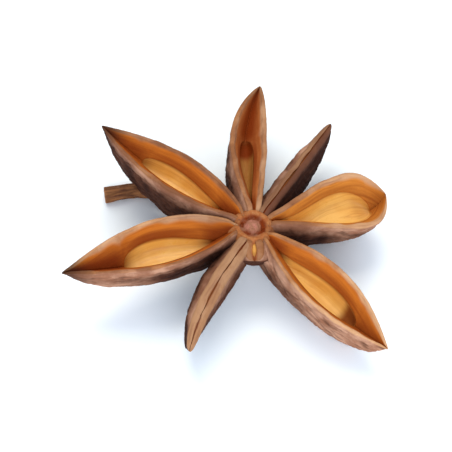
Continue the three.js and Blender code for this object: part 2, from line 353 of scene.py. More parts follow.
class PodColours(bpy.types.PropertyGroup):
    """Colours of the husk, the lining, the hub, the stalk and the floor."""

    husk: colour("Husk", "Outside of a light follicle", 142, 94, 70)
    husk_pale: colour("Pale husk", "Rubbed places on the outside of a light follicle", 186, 139, 112)
    # Dusky and deep husk also serve as painted shade: near the hub, towards the keel, in creases, on the
    # side turned from the light and in the hub's hollows
    dusk: colour("Dusky husk", "Outside of a dark follicle", 98, 60, 44)
    dusk_deep: colour("Deep husk", "Darkest places on the outside", 50, 27, 20)
    rim: colour("Rim", "Edge of an open follicle", 162, 106, 64)
    rim_pale: colour("Pale rim", "Worn places on a rim", 192, 145, 105)
    lip: colour("Lip", "Inner face between rim and seed chamber", 180, 98, 30)
    # Groove is also painted shade in the beak's V, along the chamber's edge and over its far end
    groove: colour("Groove", "Inside of the beak and ends of the chamber", 116, 44, 8)
    lip_pale: colour("Pale lip", "Inner face of a follicle that has barely opened", 154, 88, 46)
    chamber: colour("Dull lining", "Inside of a seed chamber that has barely opened", 126, 70, 28)
    lining: colour("Lining", "Inside of the seed chamber", 226, 166, 76)
    lining_light: colour("Light lining", "Brightest places inside the seed chamber", 233, 181, 94)
    knob: colour("Knob", "Top of the central column", 172, 108, 92)
    bark: colour("Bark", "Outside of the stalk", 172, 114, 70)
    pith: colour("Pith", "Broken end of the stalk", 170, 126, 92)
    floor: colour("Floor", "Surface that the pod lies on", 246, 250, 253)


class PodStage(bpy.types.PropertyGroup):
    """Floor, lights and camera."""

    floor_side: number("Floor side", "Side of the square floor", 1.2, 0.1)
    key_power: number("Key power", "Soft light above and behind the pod", 1.2, unit="POWER")
    fill_power: number(
        "Fill power", "Soft light from the side the pod is seen from", 3.6, unit="POWER"
    )
    sky_strength: number("Sky strength", "Even light from all round", 0.86, unit="NONE")
    camera_elevation: number(
        "Camera elevation", "Angle of the camera above the floor", math.radians(53.5), unit="ROTATION"
    )
    camera_distance: number(
        "Camera distance", "From the place that the camera looks at, beside the hub", 0.32, 0.05
    )
    view_width: number("View width", "Width that the camera takes in there", 37 * MM, 5 * MM)


# --- Numbers ---------------------------------------------------------------


def lerp(first, last, share):
    """The value that lies a share of the way from first to last."""
    return first + (last - first) * share


def smoothstep(value, low, high):
    """0 below low and 1 above high, with a smooth 3t^2 - 2t^3 rise between."""
    share = np.clip((value - low) / (high - low), 0, 1)
    return share * share * (3 - 2 * share)


def bump(value, low, high, soft):
    """1 between low and high, falling smoothly to 0 over the distance soft outside them."""
    return smoothstep(value, low - soft, low) * (1 - smoothstep(value, high, high + soft))


def hump(share, rise, fall):
    """t^rise (1-t)^fall, scaled to be 1 at its highest and 0 at both ends."""
    peak = rise / (rise + fall)
    highest = peak**rise * (1 - peak) ** fall
    share = np.clip(share, 0, 1)
    return share**rise * (1 - share) ** fall / highest


def unit(vectors):
    """Vectors divided by their lengths."""
    return vectors / np.maximum(np.linalg.norm(vectors, axis=-1, keepdims=True), SMALLEST)


def turned(first, second, angle):
    """Two coordinates after a turn by an angle, from the first one's axis towards the second's."""
    cos, sin = math.cos(angle), math.sin(angle)
    return first * cos - second * sin, first * sin + second * cos


def grid_of(*parts):
    """Coordinates that are spread over the same grid and joined to vectors."""
    return np.stack(np.broadcast_arrays(*parts), -1)


def smooth_through(knots, share):
    """Points at shares of a smooth curve through evenly spaced knots: Hermite pieces whose slope at
    a knot is half the difference of its neighbours."""
    slopes = np.gradient(knots, axis=0)
    place = share * (len(knots) - 1)
    k = np.minimum(place.astype(int), len(knots) - 2)
    t = (place - k)[:, None]
    return (
        (2 * t**3 - 3 * t**2 + 1) * knots[k]
        + (t**3 - 2 * t**2 + t) * slopes[k]
        + (3 * t**2 - 2 * t**3) * knots[k + 1]
        + (t**3 - t**2) * slopes[k + 1]
    )


def slope_table(seed):
    """A shuffled table of numbers and a random unit slope for each."""
    draw = np.random.default_rng(seed)
    slopes = unit(draw.normal(size=(NOISE_TABLE, 3)))
    return draw.permutation(NOISE_TABLE), slopes


def noise(points, seed):
    """Gradient noise, about -0.8 to 0.8: each whole-number corner has a random slope, and the eight
    slopes round a point are blended by 6t^5 - 15t^4 + 10t^3."""
    order, slopes = slope_table(seed)
    cell = np.floor(points).astype(np.int64)
    inside = points - cell
    blend = inside**3 * (inside * (inside * 6 - 15) + 10)
    total = np.zeros(points.shape[:-1])
    for corner in np.ndindex(2, 2, 2):
        index = 0
        for at in np.moveaxis(cell + corner, -1, 0):
            index = order[(index + at) % NOISE_TABLE]
        weight = np.prod(np.where(np.array(corner) == 1, blend, 1 - blend), axis=-1)
        total += weight * np.sum(slopes[index] * (inside - corner), axis=-1)
    return total * NOISE_GAIN


def layers(points, seed, count):
    """Sum of layers of noise, each twice as fine and half as strong as the one before."""
    return sum(0.5**k * noise(points * 2.0**k, seed + k) for k in range(count))


def creases_at(points, seed):
    """Layers of noise folded where they cross 0: 1 along a sharp crease and 0 far from it."""
    total = 0
    for k, strength in enumerate(CREASE_LAYERS):
        total = total + strength * (1 - np.abs(noise(points * 2.0**k, seed + k)) * CREASE_FOLD)
    return np.clip(total / sum(CREASE_LAYERS), 0, 1)


def wander(distance, length, seed):
    """Smooth noise along a line, with features about length long."""
    return noise(grid_of(distance / length, seed * LINE_STEP, 0.0), seed)


# --- Pieces ----------------------------------------------------------------


def lie(points):
    """Moves points from the star's own frame, with the hub's axis upright and the rims at height 0,
    to where they lie: turned about Y by the lean and then raised to the hub's place."""
    x, y, z = np.moveaxis(points, -1, 0)
    z, x = turned(z, x, LEAN)
    return np.stack([x, y, z], -1) + (*HUB_AT, HUB_TOP)


def flatten_on_floor(points):
    """Points that would be under the floor, raised to it."""
    return np.maximum(points, (-np.inf, -np.inf, 0))


def grid_normals(points):
    """Unit normals of a grid whose columns run once round: the cross product of the differences
    along its columns and its rows."""
    along = np.gradient(points, axis=0)
    around = np.roll(points, -1, axis=1) - np.roll(points, 1, axis=1)
    return unit(np.cross(around, along))


def per_vertex(values, size):
    """A value, or a tuple of three, for each point of a grid of that size and for its two poles, as
    one flat list."""
    parts = values if isinstance(values, tuple) else (values,)
    flat = np.stack([np.broadcast_to(part, size).ravel() for part in parts], -1)
    return np.concatenate([flat, flat[:1], flat[-1:]]).astype(np.float32).ravel()


def add_piece(name, surface, material):
    """Makes a closed mesh of a surface's rings joined by four-sided faces, with a fan to a pole at
    each end, puts it in the scene and ties it to the frame."""
    rings, poles, attributes = surface
    rows, columns = rings.shape[:2]
    here = np.arange(columns)
    after = np.roll(here, -1)
    ring = np.arange(rows - 1)[:, None] * columns
    quads = np.stack([ring + here, ring + after, ring + columns + after, ring + columns + here], -1)
    first_pole = rows * columns
    last_pole = first_pole + 1
    last_ring = first_pole - columns
    first_fan = np.stack([np.full(columns, first_pole), after, here], -1)
    last_fan = np.stack([np.full(columns, last_pole), last_ring + here, last_ring + after], -1)
    faces = [*quads.reshape(-1, 4).tolist(), *first_fan.tolist(), *last_fan.tolist()]
    mesh = bpy.data.meshes.new(name)
    mesh.from_pydata(np.concatenate([rings.reshape(-1, 3), poles]) * MM, [], faces)
    for key, values in attributes.items():
        kind, field = ("FLOAT_VECTOR", "vector") if isinstance(values, tuple) else ("FLOAT", "value")
        data = mesh.attributes.new(key, kind, "POINT").data
        data.foreach_set(field, per_vertex(values, (rows, columns)))
    mesh.shade_smooth()
    if mesh.validate():
        raise RuntimeError(f"{name}: the grid has faces that are not valid")
    mesh.materials.append(material)
    piece = bpy.data.objects.new(name, mesh)
    bpy.context.scene.collection.objects.link(piece)
    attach(piece, BODY)
    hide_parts(CAD_NODE)
    return piece


# --- Follicles -------------------------------------------------------------


@dataclass
class Grid:
    """Rows along a follicle and columns once round it: up the left flank, over the rim, through the
    chamber and back down the right. The arrays broadcast to the whole grid."""

    along: np.ndarray  # distance of a row from the hub's axis
    x: np.ndarray  # the same as a fraction of the reach
    relief: np.ndarray  # how deep a row's relief is: 1, and 0 at both ends
    p: np.ndarray  # of a column: share of the way from the keel to the middle
    sign: np.ndarray  # of a column: 1 on the left and -1 on the right
    crest: int  # column on the crest of the left rim; as far from the end is the right one


def follicle_grid(reach):
    """The grid of a follicle: rows crowd towards the tip by a sine, and each part of the section
    has its own number of evenly spaced columns."""
    share = np.linspace(0, 1, ALONG_ROWS)[:, None]
    along = lerp(START, reach, lerp(share, np.sin(share * np.pi / 2), CROWDING))
    edges = (0, RIM_FROM, LIP_FROM, CHAMBER_FROM, 1)
    parts = [
        np.linspace(low, high, count, endpoint=False)
        for low, high, count in zip(edges, edges[1:], HALF_COLUMNS)
    ]
    half = np.concatenate([*parts, [1.0]])
    return Grid(
        along=along,
        x=np.minimum(along / reach, LAST),
        relief=smoothstep(share, 0, RELIEF_FROM) * (1 - smoothstep(share, RELIEF_TO, 1)),
        p=np.concatenate([half, half[-2:0:-1]])[None, :],
        sign=np.concatenate([np.ones(len(half)), -np.ones(len(half) - 2)])[None, :],
        crest=int(np.argmin(np.abs(half - (RIM_FROM + LIP_FROM) / 2))),
    )


def section_at(follicle, x):
    """Measures of a follicle's section at fractions x of its reach, as a dict of arrays. Rims part
    as a hump along the follicle, the keel sinks as another, and both close at the tip as
    sqrt(1 - t^nose). Near the hub the rims fall into the pit."""
    parted = min(1, follicle.gape / PARTED)
    first = START / follicle.reach
    t = np.clip((x - first) / (1 - first), 0, 1)
    close = np.sqrt(1 - t**follicle.nose)
    dip = DIP * (1 - smoothstep(x * follicle.reach, START, START + DIP_RUN))
    rim_half = (SLIT + follicle.gape / 2 * hump(t, follicle.swell, follicle.taper)) * close
    body_hump = hump(lerp(BODY_RISE[0], 1, t), BODY_RISE[1], follicle.taper)
    keel_hump = hump(lerp(KEEL_RISE[0], 1, t), KEEL_RISE[1], follicle.sweep)
    chamber_from, chamber_to, spread = follicle.chamber
    lens = hump((x - chamber_from) / (chamber_to - chamber_from), *LENS_POWERS)
    edge_half = np.maximum(SEAM_FLOOR * SLIT * close, spread * rim_half * lens)
    edge_drop = EDGE_DROP + LIP_SLOPE * np.maximum(0, rim_half - edge_half)
    floor_drop = CHAMBER_DROP * min(1, follicle.gape / FULL_GAPE) * lens**SINK_POWER
    return {
        "parted": parted,
        "rim_half": rim_half,
        "outer": rim_half + follicle.rim * close,
        "crown": lerp(SHUT_CROWN, OPEN_CROWN, parted) * close,
        "body_half": lerp(BODY_LEAST, follicle.body, body_hump) * close,
        "rim_height": -follicle.droop * t**DROOP_POWER - dip,
        "depth": follicle.depth * np.maximum(TIP_DEPTH, keel_hump) * close,
        "lens": lens,
        "edge_half": edge_half,
        "edge_drop": edge_drop,
        "floor_drop": edge_drop + CHAMBER_STEP + floor_drop,
    }


def half_section(section, p):
    """Sideways and height of points at shares p of half a section: a flank from the keel to the
    shoulder, half an ellipse over the rim of an open follicle or a quarter of one over that of a
    shut one, a straight lip, and a quarter of a flattened ellipse across the chamber."""
    shoulder = section["rim_height"] - section["crown"]
    fall = np.clip(1 - p / RIM_FROM, 0, 1)
    widest = np.maximum(section["body_half"], BELLY_LEAST * section["outer"])
    belly = lerp(section["outer"], widest, smoothstep(fall, 0, BELLY))
    flank_side = belly * (1 - fall ** FLANK_POWERS[0]) ** FLANK_POWERS[1]
    flank_height = shoulder - (section["depth"] - section["crown"]) * fall

    parted = section["parted"]
    turn = np.clip((p - RIM_FROM) / (LIP_FROM - RIM_FROM), 0, 1) * np.pi
    outwards = lerp(np.cos(turn / 2), (1 + np.cos(turn)) / 2, parted)
    rim_side = lerp(section["rim_half"], section["outer"], outwards)
    rim_height = shoulder + section["crown"] * lerp(np.sin(turn / 2), np.sin(turn), parted)

    inner = shoulder + section["crown"] * (1 - parted)
    inwards = np.clip((p - LIP_FROM) / (CHAMBER_FROM - LIP_FROM), 0, 1)
    lip_side = lerp(section["rim_half"], section["edge_half"], inwards)
    lip_height = inner - section["edge_drop"] * inwards

    sink = np.clip((p - CHAMBER_FROM) / (1 - CHAMBER_FROM), 0, 1) * np.pi / 2
    chamber_side = section["edge_half"] * np.clip(np.cos(sink), 0, 1) ** BOWL_POWER
    chamber_height = inner - lerp(section["edge_drop"], section["floor_drop"], np.sin(sink))

    parts = [p < RIM_FROM, p < LIP_FROM, p < CHAMBER_FROM]
    parts = [np.broadcast_to(part, chamber_side.shape) for part in parts]
    side = np.select(parts, [flank_side, rim_side, lip_side], chamber_side)
    height = np.select(parts, [flank_height, rim_height, lip_height], chamber_height)
    return side, height


def wander_by_side(grid, length, seed):
    """Smooth noise along a follicle, another on the left than on the right."""
    left, right = (wander(grid.along, length, seed + step) for step in (0, 20))
    return np.where(grid.sign > 0, left, right)


def distance_from_crest(side, height, grid):
    """Distance round each section from the crest of its rim, below 0 down the flank: the running
    sum of the steps from column to column."""
    step = np.hypot(*(np.diff(part, axis=1, prepend=part[:, :1]) for part in (side, height)))
    arc = np.cumsum(step, axis=1)
    return np.where(grid.sign > 0, arc - arc[:, [grid.crest]], arc[:, [-grid.crest]] - arc)


def follicle_surface(follicle, shape):
    """Rings of one follicle in place, its poles and its attributes. The main form is half_section
    on both sides; the rims then stray and change in thickness by smooth noise, and the flanks are
    creased along their normals by folded noise stretched along the follicle."""
    grid = follicle_grid(follicle.reach)
    along, p, sign, seed = grid.along, grid.p, grid.sign, follicle.seed
    section = section_at(follicle, grid.x)
    side, height = half_section(section, p)

    near_rim = bump(p, RIM_FROM, LIP_FROM, 0.1)
    rim_and_inside = smoothstep(p, RIM_FROM - 0.08, RIM_FROM + 0.05)
    wave = shape.rim_wave / MM * section["lens"] ** 0.5 * rim_and_inside * near_rim
    stray = wander_by_side(grid, LONG_WAVE, seed) + 0.5 * wander_by_side(grid, SHORT_WAVE, seed + 40)
    height = height + wave * RIM_LIFT * np.roll(stray, WAVE_SHIFT, axis=0)
    thick = wander_by_side(grid, RIM_PATCH, seed + 30)
    uneven = RIM_UNEVEN * follicle.rim * lerp(SHUT_UNEVEN, 1, section["parted"]) * grid.relief
    inner_edge = bump(p, LIP_FROM - 0.01, LIP_FROM + 0.01, 0.06)
    side = sign * (side + wave * stray - uneven * thick * inner_edge)

    points = grid_of(along, side, height)
    flank = 1 - smoothstep(p, RIM_FROM - 0.1, RIM_FROM)
    wrinkles = grid_of(
        along / (shape.wrinkle_length / MM),
        height / (shape.wrinkle_width / MM) + WRINKLE_SLANT * along,
        sign * FLANK_STEP + seed,
    )
    creases = creases_at(wrinkles, seed + 80)
    lumps = layers(points / LUMP_LENGTH + seed, seed + 100, 3)
    fine = layers(points / GRAIN_LENGTH + seed, seed + 120, 2)
    on_flank = LUMP_DEPTH * lumps + GRAIN_DEPTH * fine - CREASE_DEPTH * creases**2
    relief = grid.relief * lerp(RIM_GRAIN_DEPTH * fine * near_rim, on_flank, flank)
    points = points + grid_normals(points) * (relief * shape.wrinkle_depth / MM)[..., None]

    p_uneven = p + 0.03 * thick
    # Dusk along the follicle, partly painted shade between the follicles near the hub
    dusk = lerp(*follicle.dusk, smoothstep(grid.x, *MIDDLE))
    lip = smoothstep(p_uneven, LIP_FROM - 0.03, LIP_FROM + 0.02)
    attributes = {
        **follicle_looks(follicle, grid, section["lens"]),
        # Painted shade on the right flank and painted light on the left, by the shade value
        "dusk": dusk - follicle.shade * sign * (1 - rim_and_inside),
        "crease": creases * flank,
        "rim": bump(p_uneven, RIM_FROM + 0.01, LIP_FROM, 0.035),
        "lip": lip * lerp(0.3, 1, section["parted"]),
        "grain": (along, distance_from_crest(side, height, grid), seed * FOLLICLE_STEP),
    }
    poles = [
        (along[row, 0], 0, section["rim_height"][row, 0] - section["depth"][row, 0] / 2)
        for row in (0, -1)
    ]
    return place_on_star(points, follicle), place_on_star(np.array(poles), follicle), attributes


def follicle_looks(follicle, grid, lens):
    """How much of each finish the points of a follicle have, by their place on it: smooth steps
    and bumps of x and p. The lining fills the lens of the chamber, red-brown grooves with painted
    shade run into it from the hub and the beak, painted shade runs along its edge, and painted
    shade lies over its far end."""
    x, p = grid.x, grid.p
    chamber_from, chamber_to, _ = follicle.chamber
    in_chamber = smoothstep(p, CHAMBER_FROM, CHAMBER_FROM + 0.02) * smoothstep(lens, 0.05, 0.3)
    far_half = smoothstep(x, (chamber_from + chamber_to) / 2, chamber_to)
    near_hub = 1 - smoothstep(x, chamber_from, chamber_from + 0.12)
    near_tip = smoothstep(x, chamber_to - 0.1, chamber_to + 0.05)
    # Red-brown grooves near the hub and the beak, with painted shade where the lips meet
    ends = np.maximum(0.9 * near_hub, follicle.beak * near_tip)
    ends = ends * smoothstep(p, LIP_FROM, CHAMBER_FROM - 0.04)
    # Painted shade along the chamber's edge
    edge = bump(p, CHAMBER_FROM - 0.045, CHAMBER_FROM + 0.012, 0.04) * lens
    # Painted shade over the far end of the chamber
    far_end = bump(x, chamber_to - 0.08, chamber_to - 0.02, 0.06)
    end_shade = far_end * smoothstep(p, CHAMBER_FROM - 0.06, CHAMBER_FROM + 0.05)
    return {
        # The lining fades under the painted shade at the far end
        "lining": in_chamber * (1 - 0.25 * follicle.end_shade * far_half),
        "groove": np.maximum.reduce([ends, 0.8 * edge * follicle.beak, end_shade * follicle.end_shade]),
        "gold": follicle.gold,
        # Rims paler on the left and darker on the right by the shade value: painted light and shade
        "pale": lerp(*follicle.pale, smoothstep(x, *MIDDLE)) + follicle.shade * grid.sign,
        "low": np.clip(1 - p / RIM_FROM, 0, 1),
        "burn": follicle.burn * smoothstep(x, *BURNT),
    }


def place_on_star(points, follicle):
    """Rolls a follicle about its own length, bends its tip sideways by the cube of the distance,
    turns it to its bearing, lays the star down and flattens what would be under the floor."""
    along, side, height = np.moveaxis(points, -1, 0)
    side, height = turned(side, height - ROLL_HEIGHT, math.radians(follicle.roll))
    side = side + follicle.bend * (along / follicle.reach) ** BEND_POWER
    x, y = turned(along, side, math.radians(follicle.bearing))
    return flatten_on_floor(lie(np.stack([x, y, height + ROLL_HEIGHT], -1)))


# --- Hub and stalk ---------------------------------------------------------


def lobes_at(theta):
    """1 at the bearing of each follicle, falling off as a bell about as wide as its rims."""
    total = 0
    for follicle in (*FOLLICLES, STUB):
        away = (theta - math.radians(follicle.bearing) + np.pi) % (2 * np.pi) - np.pi
        width = LOBE_WIDTH * (follicle.rim + SLIT) / RING_RADIUS
        total = total + np.exp(-((away / width) ** 2))
    return np.minimum(total, 1)


def hub_surface():
    """Rings of the hub, its poles and its attributes: a smooth profile turned about the axis, from
    the top of the knob over the ring and down to the stalk. The ring sinks between its lobes, and
    the knob and the pit stray from round by smooth noise."""
    profile = smooth_through(np.array(HUB_PROFILE), np.linspace(0, 1, HUB_ROWS))
    radius = np.maximum(profile[:, :1], POLE_RADIUS)
    height = profile[:, 1:]
    theta = np.linspace(0, 2 * np.pi, HUB_TURNS, endpoint=False)
    across, forward = np.cos(theta), np.sin(theta)
    lobe = lobes_at(theta)
    on_top = height > -ROUGH_TO
    height = height - bump(radius, PIT_RADIUS, HUB_RADIUS, 0.4) * on_top * RING_SINK * (1 - lobe)
    stray = wander(across, KNOB_PATCH, HUB_SEED + 6) * wander(forward, KNOB_PATCH, HUB_SEED + 8)
    middle = (1 - smoothstep(radius, KNOB_RADIUS, RING_RADIUS)) * on_top
    from_axis = radius * (1 + KNOB_STRAY * stray * middle)
    points = grid_of(from_axis * across, from_axis * forward, height)
    lumps = HUB_LUMP[0] * layers(points / HUB_LUMP[1], HUB_SEED, 4)
    fine = HUB_GRAIN[0] * layers(points / HUB_GRAIN[1], HUB_SEED + 10, 2)
    points[..., 2] += (lumps + fine) * on_top
    attributes = {
        "knob": (1 - smoothstep(radius, 0.8 * KNOB_RADIUS, 1.2 * KNOB_RADIUS)) * on_top,
        "pit": bump(radius, KNOB_RADIUS, 0.9 * PIT_RADIUS, 0.3) * on_top,
        # Painted shade in the hollows between the lobes and on the hub's side below them
        "between": smoothstep(radius, PIT_RADIUS, RING_RADIUS) * (1 - lobe * on_top),
    }
    return lie(points), lie(points[[0, -1]].mean(1)), attributes


def stalk_surface():
    """Rings of the stalk, its poles and its attributes: a wrinkled circle carried along a smooth
    line, ending in a broken face that is dished as 1 - r^2 and ragged towards its edge."""
    share = np.linspace(0, 1, STALK_ROWS)
    centre = smooth_through(np.array(STALK_LINE) + (*HUB_AT, 0), share)
    run = np.cumsum(np.linalg.norm(np.diff(centre, axis=0, prepend=centre[:1]), axis=1))[:, None]
    ahead = unit(np.gradient(centre, axis=0))
    sideways = unit(np.cross(ahead, (0, 0, 1)))
    upwards = np.cross(sideways, ahead)
    theta = np.linspace(0, 2 * np.pi, STALK_TURNS, endpoint=False)
    across, up = np.cos(theta), np.sin(theta)

    wrinkles = grid_of(run / STALK_WRINKLE, across * STALK_FLUTES, up * STALK_FLUTES)
    creases = creases_at(wrinkles, STALK_SEED)
    lumps = layers(wrinkles * LUMP_SCALE, STALK_SEED + 20, 3)
    radius = STALK_RADIUS * (1 + STALK_LUMP * (lumps - 1)) - STALK_CREASE * creases**2
    radius = radius * (1 + STALK_SWELL * smoothstep(share, SWELL_FROM, 1))[:, None]
    circle = across[:, None] * sideways[:, None] + up[:, None] * upwards[:, None]
    offset = radius[..., None] * circle

    inward = np.linspace(1, FACE_INNER, FACE_ROWS + 1)[1:, None]
    place, fineness = FACE_ROUGH
    ragged = layers(grid_of(float(place), across * fineness, up * fineness), STALK_SEED + 30, 3)
    dish = FACE_DISH * (1 - inward**2) - FACE_RAGGED * ragged * inward
    face = centre[-1] + offset[-1] * inward[..., None] - ahead[-1] * dish[..., None]
    rings = flatten_on_floor(np.concatenate([centre[:, None] + offset, face]))

    on_face = ((0, FACE_ROWS), (0, 0))
    pale = np.linspace(FACE_PALE, 1, FACE_ROWS)
    attributes = {
        "broken": np.concatenate([np.zeros(STALK_ROWS), pale])[:, None],
        "crease": np.pad(creases, on_face),
        "grain": (np.pad(run, on_face, mode="edge"), across * BARK_FLUTES, up * BARK_FLUTES),
    }
    return rings, [centre[0], rings[-1].mean(0)], attributes


# --- Materials -------------------------------------------------------------


class Shader:
    """A new material with one Principled surface, and short ways to add nodes to it."""

    def __init__(self, name):
        self.material = bpy.data.materials.new(name)
        self.material.use_nodes = True
        self.tree = self.material.node_tree
        self.tree.nodes.clear()
        self.surface = self.tree.nodes.new("ShaderNodeBsdfPrincipled")
        output = self.tree.nodes.new("ShaderNodeOutputMaterial")
        self.tree.links.new(self.surface.outputs["BSDF"], output.inputs["Surface"])

    def feed(self, socket, value):
        """Links a socket to another's output, or sets it to a plain value."""
        if isinstance(value, bpy.types.NodeSocket):
            self.tree.links.new(value, socket)
        else:
            socket.default_value = value

    def attribute(self, name, output="Fac"):
        """A value that the mesh holds for each vertex."""
        node = self.tree.nodes.new("ShaderNodeAttribute")
        node.attribute_name = name
        return node.outputs[output]

    def math(self, operation, first, second, third=0.0, clamp=False):
        """One arithmetic step."""
        node = self.tree.nodes.new("ShaderNodeMath")
        node.operation = operation
        node.use_clamp = clamp
        for socket, value in zip(node.inputs, (first, second, third)):
            self.feed(socket, value)
        return node.outputs[0]

    def span(self, value, low, high, to_low=0.0, to_high=1.0):
        """The value's place between low and high, smoothly, as a number from to_low to to_high."""
        node = self.tree.nodes.new("ShaderNodeMapRange")
        node.interpolation_type = "SMOOTHSTEP"
        self.feed(node.inputs["Value"], value)
        node.inputs["From Min"].default_value = low
        node.inputs["From Max"].default_value = high
        node.inputs["To Min"].default_value = to_low
        node.inputs["To Max"].default_value = to_high
        return node.outputs["Result"]

    def mix(self, share, first, second):
        """A colour that lies a share of the way between two."""
        node = self.tree.nodes.new("ShaderNodeMix")
        node.data_type = "RGBA"
        for index, value in zip(MIX_INPUTS, (share, first, second)):
            self.feed(node.inputs[index], value)
        return node.outputs[MIX_OUTPUT]

    def clouds(self, scale, detail, roughness, vector=None):
        """Cloudy noise from 0 to 1, on the piece's own coordinates in metres or on others."""
        if vector is None:
            vector = self.tree.nodes.new("ShaderNodeTexCoord").outputs["Object"]
        node = self.tree.nodes.new("ShaderNodeTexNoise")
        self.feed(node.inputs["Vector"], vector)
        node.inputs["Scale"].default_value = scale
        node.inputs["Detail"].default_value = detail
        node.inputs["Roughness"].default_value = roughness
        return node.outputs["Fac"]

    def streaks(self, repeats, detail, roughness):
        """Noise along the mesh's grain, with its repeats in a millimetre on each axis of that."""
        node = self.tree.nodes.new("ShaderNodeMapping")
        self.feed(node.inputs["Vector"], self.attribute("grain", "Vector"))
        node.inputs["Scale"].default_value = repeats
        return self.clouds(1.0, detail, roughness, node.outputs["Vector"])

    def finish(self, colour, roughness, specular, relief, strength):
        """Gives the surface its colour, gloss and fine relief, and returns the material."""
        self.feed(self.surface.inputs["Base Color"], colour)
        self.feed(self.surface.inputs["Roughness"], roughness)
        self.feed(self.surface.inputs["Specular IOR Level"], specular)
        node = self.tree.nodes.new("ShaderNodeBump")
        node.inputs["Strength"].default_value = strength
        node.inputs["Distance"].default_value = FINE_RELIEF
        self.feed(node.inputs["Height"], relief)
        self.feed(self.surface.inputs["Normal"], node.outputs["Normal"])
        return self.material


def husk_colour(shader, colours, patches, streaks):
    """Outside of a follicle: light or dark husk in cloudy patches by its dusk, which is partly painted
    shade, with painted light on the upper flank, painted shade towards the keel and in its
    creases, and darker streaks."""
    mottle = shader.span(patches, 0.36, 0.64)
    light = shader.mix(mottle, colours.husk, colours.husk_pale)
    dark = shader.mix(mottle, colours.dusk_deep, colours.dusk)
    # Painted light on the upper flank and painted shade towards the keel
    flank_light_and_shade = shader.span(shader.attribute("low"), 0.0, 0.45, -1.2, 0.25)
    dusk = shader.math("ADD", shader.attribute("dusk"), flank_light_and_shade)
    husk = shader.mix(shader.math("MAXIMUM", dusk, 0.0, clamp=True), light, dark)
    husk = shader.mix(shader.math("SUBTRACT", dusk, 1.0, clamp=True), husk, colours.dusk_deep)
    husk = shader.mix(shader.span(streaks, 0.45, 0.7, 0.0, 0.35), husk, colours.dusk)
    # Painted shade in the creases
    crease = shader.span(shader.attribute("crease"), 0.4, 0.95, 0.0, 0.55)
    return shader.mix(crease, husk, colours.dusk_deep)


def rim_colour(shader, colours, patches, streaks, husk):
    """Rim of a follicle: tan, worn pale or dusky in patches, with painted light on one side and
    painted shade on the other, streaked with the husk's own colour and darker where the husk is."""
    worn = shader.span(patches, 0.4, 0.65, -0.35, 0.35)
    pale = shader.math("ADD", shader.attribute("pale"), worn)
    rim = shader.mix(shader.math("MAXIMUM", pale, 0.0, clamp=True), colours.rim, colours.rim_pale)
    rim = shader.mix(shader.math("MULTIPLY", pale, -1.0, clamp=True), rim, colours.dusk)
    rim = shader.mix(shader.span(streaks, 0.4, 0.7, 0.0, 0.5), rim, husk)
    # Darker where the husk's dusk is, which is partly painted shade
    dusk = shader.math("MULTIPLY", shader.attribute("dusk"), 0.3, clamp=True)
    return shader.mix(dusk, rim, colours.dusk)


def lip_colour(shader, colours, gold, streaks):
    """Lip of a follicle: dull where it is not golden, orange-brown where it is, with dark streaks."""
    lip = shader.mix(shader.math("MINIMUM", gold, 1.0), colours.lip_pale, colours.lip)
    lip = shader.mix(shader.math("SUBTRACT", gold, 1.0, clamp=True), lip, colours.lining)
    return shader.mix(shader.span(streaks, 0.38, 0.75, 0.0, 0.5), lip, colours.groove)


def lining_colour(shader, colours, gold, streaks):
    """Lining of a seed chamber: golden clouds with orange-brown streaks and broad bands, or a dull
    brown with dark streaks where it is not golden."""
    clouds = shader.clouds(420, 3.0, 0.5)
    bands = shader.streaks((0.07, 1.3, 1.0), 2.0, 0.5)
    golden = shader.mix(shader.span(clouds, 0.35, 0.65), colours.lining, colours.lining_light)
    golden = shader.mix(shader.span(streaks, 0.42, 0.75, 0.0, 0.45), golden, colours.lip)
    golden = shader.mix(shader.span(bands, 0.5, 0.68, 0.0, 0.3), golden, colours.lip)
    dull = shader.mix(shader.span(streaks, 0.4, 0.7, 0.0, 0.6), colours.chamber, colours.groove)
    return shader.mix(shader.math("MINIMUM", gold, 1.0), dull, golden)


def husk_material(colours):
    """Follicles: a matte husk, with the lip, the rim, the lining, the dark grooves that carry painted
    shade and the burnt tip laid over it in turn, and a gloss on what is golden."""
    shader = Shader("dried_husk")
    gold = shader.attribute("gold")
    patches = shader.clouds(**PATCHES)
    specks = shader.clouds(**SPECKS)
    streaks = shader.streaks((0.35, 3.2, 1.0), 4.0, 0.6)
    lip_streaks = shader.streaks((0.22, 4.5, 1.0), 5.0, 0.65)

    husk = husk_colour(shader, colours, patches, streaks)
    lip = lip_colour(shader, colours, gold, lip_streaks)
    rim = rim_colour(shader, colours, patches, streaks, husk)
    lining = lining_colour(shader, colours, gold, lip_streaks)
    burn = shader.math("MULTIPLY", shader.attribute("burn"), shader.span(patches, 0.25, 0.6, 0.6, 1.0))
    base = shader.mix(shader.attribute("lip"), husk, lip)
    base = shader.mix(shader.attribute("rim"), base, rim)
    base = shader.mix(shader.attribute("lining"), base, lining)
    # Grooves: red-brown, with painted shade where the lips meet, along the chamber's edge and over its
    # far end
    base = shader.mix(shader.attribute("groove"), base, colours.groove)
    base = shader.mix(burn, base, colours.dusk_deep)

    off_groove = shader.math("SUBTRACT", 1.0, shader.attribute("groove"), clamp=True)
    shiny = shader.math("MULTIPLY", shader.attribute("lining"), shader.math("MINIMUM", gold, off_groove))
    smooth = shader.math("MAXIMUM", shiny, shader.math("MULTIPLY", shader.attribute("lip"), 0.08))
    rough = shader.math("MULTIPLY_ADD", smooth, -0.34, shader.span(specks, 0.3, 0.7, 0.6, 0.8))
    specular = shader.math("MULTIPLY_ADD", smooth, 0.3, 0.03)
    fine = shader.math("MULTIPLY_ADD", streaks, 0.8, specks)
    matte = shader.math("MULTIPLY_ADD", smooth, -0.8, 1.0)
    return shader.finish(base, rough, specular, shader.math("MULTIPLY", fine, matte), 0.9)


